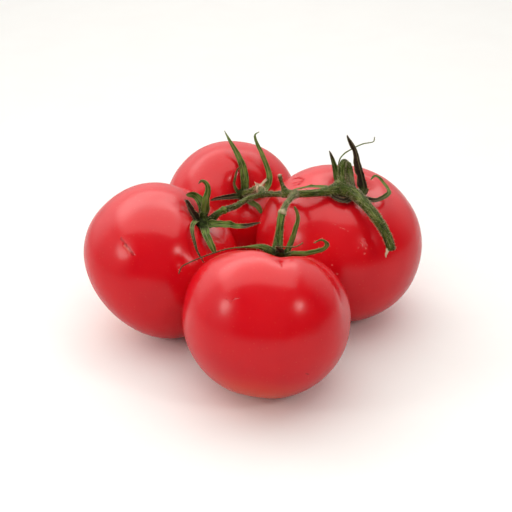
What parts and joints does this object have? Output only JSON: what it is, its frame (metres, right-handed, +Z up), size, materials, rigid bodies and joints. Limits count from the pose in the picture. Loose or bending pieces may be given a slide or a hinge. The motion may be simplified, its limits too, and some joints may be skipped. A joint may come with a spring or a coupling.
{
  "type": "truss of tomatoes",
  "caption": "Truss of ripe tomatoes joined by their green stalk, with curling sepals, lying as picked on a flat surface",
  "frame": {"origin": "On the surface that the truss lies on, under the middle of its box", "axes": "+Z up, +X from the left fruit to the right one, +Y from the front fruit to the back one"},
  "size_m": [0.1451, 0.1725, 0.0854],
  "materials": {
    "fruit_skin": "smooth waxy skin of a ripe tomato, glossy",
    "stalk": "green plant stalk with fine pale hairs",
    "sepal": "green sepals, drying to brown at their tips"
  },
  "bodies": {
    "root": {"tomato_left": "fruit_skin", "tomato_back": "fruit_skin", "tomato_right": "fruit_skin", "tomato_front": "fruit_skin", "truss_stem": "stalk", "calyx_left": "sepal", "calyx_back": "sepal", "calyx_right": "sepal", "calyx_front": "sepal"}
  },
  "joints": []
}
